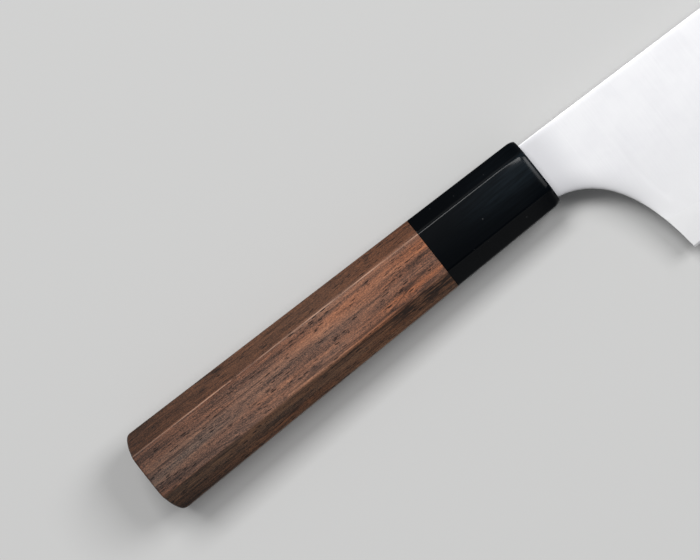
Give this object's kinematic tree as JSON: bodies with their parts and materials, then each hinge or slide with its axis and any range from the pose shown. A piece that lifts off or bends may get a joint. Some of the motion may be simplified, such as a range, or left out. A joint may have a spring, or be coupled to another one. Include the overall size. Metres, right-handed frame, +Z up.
{
  "type": "bunka knife",
  "caption": "Kitchen knife lying on its side: straight spine clipped down to a pointed tip, laminated steel blade, and an octagonal wooden handle with a black ferrule.",
  "frame": {"origin": "on the table, under the middle of the knife's box as it lies at rest on its left side", "axes": "+X from the butt to the tip, +Y from the edge to the spine, +Z up from the table, out of the blade's right side; at rest the knife is tipped about 2.4 degrees nose down, on the ferrule's front edge and the tip"},
  "size_m": [0.337, 0.0534, 0.0241],
  "materials": {
    "core_steel": "hard carbon-steel core, polished edge zone with a fine cutting bevel",
    "cladding_steel": "satin, with fine hairlines across the blade",
    "black_horn": "black horn, polished, with faint hairline scratches",
    "rosewood": "rosewood, oiled, with dark streaks and open pores",
    "dowel_wood": "plain pale hardwood",
    "epoxy": "cured glue"
  },
  "bodies": {
    "root": {"blade_core": "core_steel", "right_cladding": "cladding_steel", "left_cladding": "cladding_steel", "ferrule": "black_horn", "handle_body": "rosewood", "tang_dowel": "dowel_wood", "tang_bedding": "epoxy"}
  },
  "joints": []
}
